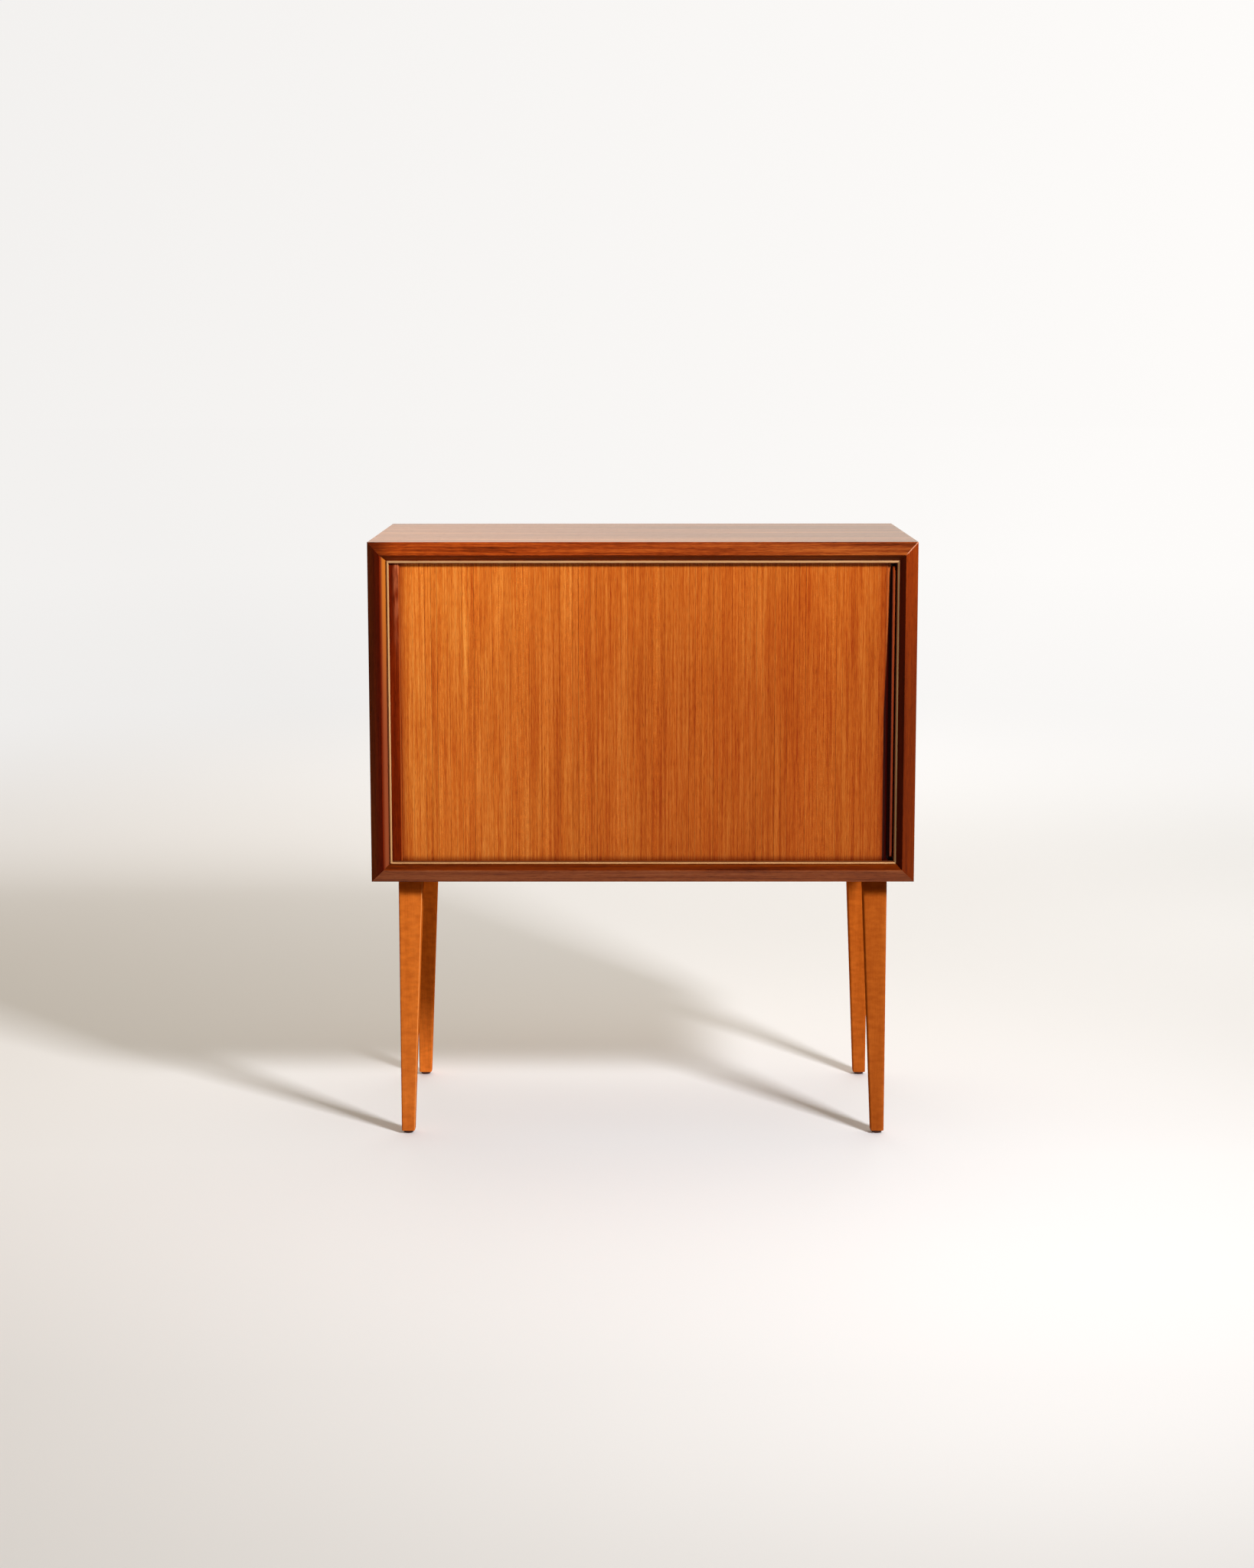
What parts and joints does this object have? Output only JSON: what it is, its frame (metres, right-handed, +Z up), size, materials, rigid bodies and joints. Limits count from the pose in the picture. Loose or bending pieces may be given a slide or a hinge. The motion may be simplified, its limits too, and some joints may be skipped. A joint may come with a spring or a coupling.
{
  "type": "tambour door cabinet",
  "caption": "Teak cabinet on tapered legs with a mitred bevelled front frame, pale stringing and a tambour door of narrow upright slats that slides to the left and hides inside the case.",
  "frame": {"origin": "on the floor, under the middle of the cabinet's box", "axes": "+X to the right seen from the front, +Y from the front to the back, +Z up"},
  "size_m": [0.78, 0.45, 0.87],
  "materials": {
    "teak_top": "oiled teak with long grain and a soft sheen",
    "teak_case": "oiled dark red-brown teak",
    "teak_frame": "oiled dark teak, bevelled and sanded smooth",
    "pale_stringing": "oiled pale boxwood or maple",
    "teak_inside": "teak veneer, matt",
    "teak_slats": "oiled orange-brown teak, quarter cut, one veneer match across the slats",
    "teak_pull": "oiled solid teak",
    "linen_canvas": "plain woven linen canvas, glued",
    "teak_legs": "oiled solid teak, lighter than the case",
    "back_plywood": "sanded plywood",
    "zinc_steel": "zinc-plated",
    "brass": "bare turned brass",
    "brown_plastic": "moulded dark brown plastic"
  },
  "bodies": {
    "case": {"top_panel": "teak_top", "bottom_panel": "teak_case", "left_side_panel": "teak_case", "right_side_panel": "teak_case", "cover_strip": "teak_case", "front_rail_top": "teak_frame", "front_rail_bottom": "teak_frame", "front_stile_left": "teak_frame", "front_stile_right": "teak_frame", "stringing_top": "pale_stringing", "stringing_bottom": "pale_stringing", "stringing_left": "pale_stringing", "stringing_right": "pale_stringing", "bottom_track_board": "teak_inside", "top_track_board": "teak_inside", "left_liner": "teak_inside", "inner_back": "teak_inside", "shelf": "teak_inside", "leg_front_left": "teak_legs", "leg_front_right": "teak_legs", "leg_back_left": "teak_legs", "leg_back_right": "teak_legs", "back_panel": "back_plywood", "back_screw_1": "zinc_steel", "back_screw_2": "zinc_steel", "back_screw_3": "zinc_steel", "back_screw_4": "zinc_steel", "back_screw_5": "zinc_steel", "back_screw_6": "zinc_steel", "back_screw_7": "zinc_steel", "back_screw_8": "zinc_steel", "leg_bolt_front_left": "zinc_steel", "leg_bolt_front_right": "zinc_steel", "leg_bolt_back_left": "zinc_steel", "leg_bolt_back_right": "zinc_steel", "leg_insert_front_left": "brass", "leg_insert_front_right": "brass", "leg_insert_back_left": "brass", "leg_insert_back_right": "brass", "shelf_pin_front_left": "brass", "shelf_pin_front_right": "brass", "shelf_pin_back_left": "brass", "shelf_pin_back_right": "brass", "glide_front_left": "brown_plastic", "glide_front_right": "brown_plastic", "glide_back_left": "brown_plastic", "glide_back_right": "brown_plastic"},
    "tambour_door": {"tambour_slats_1": "teak_slats", "tambour_slats_2": "teak_slats", "tambour_slats_3": "teak_slats", "tambour_slats_4": "teak_slats", "tambour_slats_5": "teak_slats", "tambour_slats_6": "teak_slats", "tambour_slats_7": "teak_slats", "tambour_slats_8": "teak_slats", "tambour_slats_9": "teak_slats", "tambour_canvas": "linen_canvas", "lead_stile": "teak_slats", "pull_bar": "teak_pull"}
  },
  "joints": [
    {"name": "door_slide", "type": "slide", "parent": "case", "child": "tambour_door", "axis": [-1, 0, 0], "range_m": [0, 0.691], "deforming": ["tambour_slats_1", "tambour_slats_2", "tambour_slats_3", "tambour_slats_4", "tambour_slats_5", "tambour_slats_6", "tambour_slats_7", "tambour_slats_8", "tambour_slats_9", "tambour_canvas"]}
  ]
}
